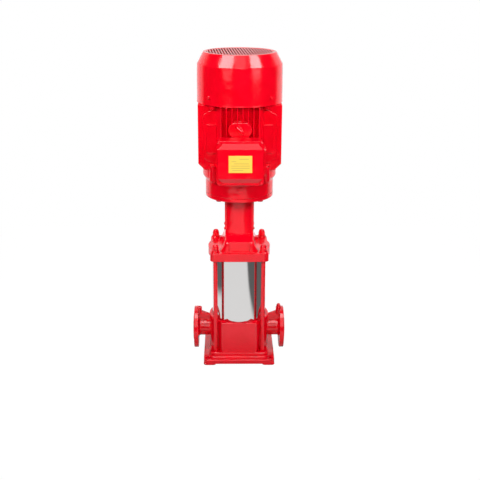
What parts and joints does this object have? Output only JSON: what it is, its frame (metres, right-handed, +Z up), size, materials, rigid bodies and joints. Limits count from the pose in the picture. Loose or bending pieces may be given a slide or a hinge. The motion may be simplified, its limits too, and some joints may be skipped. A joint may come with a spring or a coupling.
{
  "type": "vertical multistage centrifugal pump",
  "caption": "Vertical in-line multistage centrifugal pump: cast flanged casing, stainless sleeve held by tie rods, cast bracket and a fan-cooled flange motor with terminal box.",
  "frame": {"origin": "centre of the four foot holes, on the plane the foot pads stand on, where the shaft axis meets the floor", "axes": "+Z up along the shaft axis to the fan cowl, -Y towards the terminal box, -X out of the suction port, +X out of the discharge port"},
  "size_m": [0.36, 0.4145, 1.186],
  "materials": {
    "red_paint": "glossy signal red paint on castings and sheet",
    "polished_stainless": "polished stainless steel tube",
    "stainless_pressing": "satin pressed stainless steel",
    "machined_steel": "turned steel",
    "bearing_steel": "ground and polished steel",
    "electrical_steel": "stacked laminations",
    "copper_winding": "varnished copper wire",
    "bronze": "turned bronze",
    "carbon": "lapped carbon",
    "gasket_rubber": "black rubber",
    "fan_plastic": "moulded black plastic",
    "cage_plastic": "moulded polyamide",
    "block_plastic": "moulded insulating block",
    "brass_stud": "bright brass",
    "plate_yellow": "bare yellow plate"
  },
  "bodies": {
    "pump": {"pump_casing": "red_paint", "gauge_plugs": "red_paint", "drain_plug": "red_paint", "sleeve_gaskets": "gasket_rubber", "outer_sleeve": "polished_stainless", "suction_spider": "stainless_pressing", "lower_bearing_bush": "bronze", "upper_bearing_bush": "bronze", "stack_clamp_ring": "stainless_pressing", "tie_rods": "red_paint", "tie_rod_washers": "red_paint", "tie_rod_nuts": "red_paint", "motor_bracket": "red_paint", "seal_seat": "carbon", "seal_gland": "machined_steel", "seal_gland_screws": "machined_steel", "coupling_guard_left": "red_paint", "coupling_guard_right": "red_paint", "guard_screws": "red_paint", "motor_flange_bolts": "red_paint", "drive_end_shield": "red_paint", "motor_frame": "red_paint", "rear_end_shield": "red_paint", "shield_bolts": "red_paint", "bearing_outer_rings": "bearing_steel", "stator_core": "electrical_steel", "stator_windings": "copper_winding", "fan_cowl": "red_paint", "cowl_screws": "red_paint", "lifting_eyebolt": "red_paint", "terminal_box": "red_paint", "terminal_box_gasket": "gasket_rubber", "terminal_box_lid": "red_paint", "lid_screws": "red_paint", "nameplate": "plate_yellow", "terminal_block": "block_plastic", "terminal_studs": "brass_stud", "stage_casing_1": "stainless_pressing", "stage_casing_2": "stainless_pressing", "stage_casing_3": "stainless_pressing", "stage_casing_4": "stainless_pressing"},
    "rotor": {"pump_shaft": "machined_steel", "impeller_nut": "machined_steel", "impeller_spacers": "machined_steel", "seal_head": "machined_steel", "coupling_half_front": "machined_steel", "coupling_half_rear": "machined_steel", "coupling_bolts": "machined_steel", "motor_shaft": "machined_steel", "rotor_core": "electrical_steel", "bearing_inner_rings": "bearing_steel", "cooling_fan": "fan_plastic", "impeller_1": "stainless_pressing", "impeller_2": "stainless_pressing", "impeller_3": "stainless_pressing", "impeller_4": "stainless_pressing"},
    "ball_cages": {"bearing_balls": "bearing_steel", "bearing_cages": "cage_plastic"}
  },
  "joints": [
    {"name": "rotor_spin", "type": "hinge", "parent": "pump", "child": "rotor", "pos_m": [0, 0, 0.6], "axis": [0, 0, 1], "continuous": true},
    {"name": "cage_spin", "type": "hinge", "parent": "pump", "child": "ball_cages", "pos_m": [0, 0, 0.7], "axis": [0, 0, 1], "continuous": true}
  ],
  "couplings": [
    {"joint": "cage_spin", "follows": "rotor_spin", "ratio": 0.38}
  ]
}
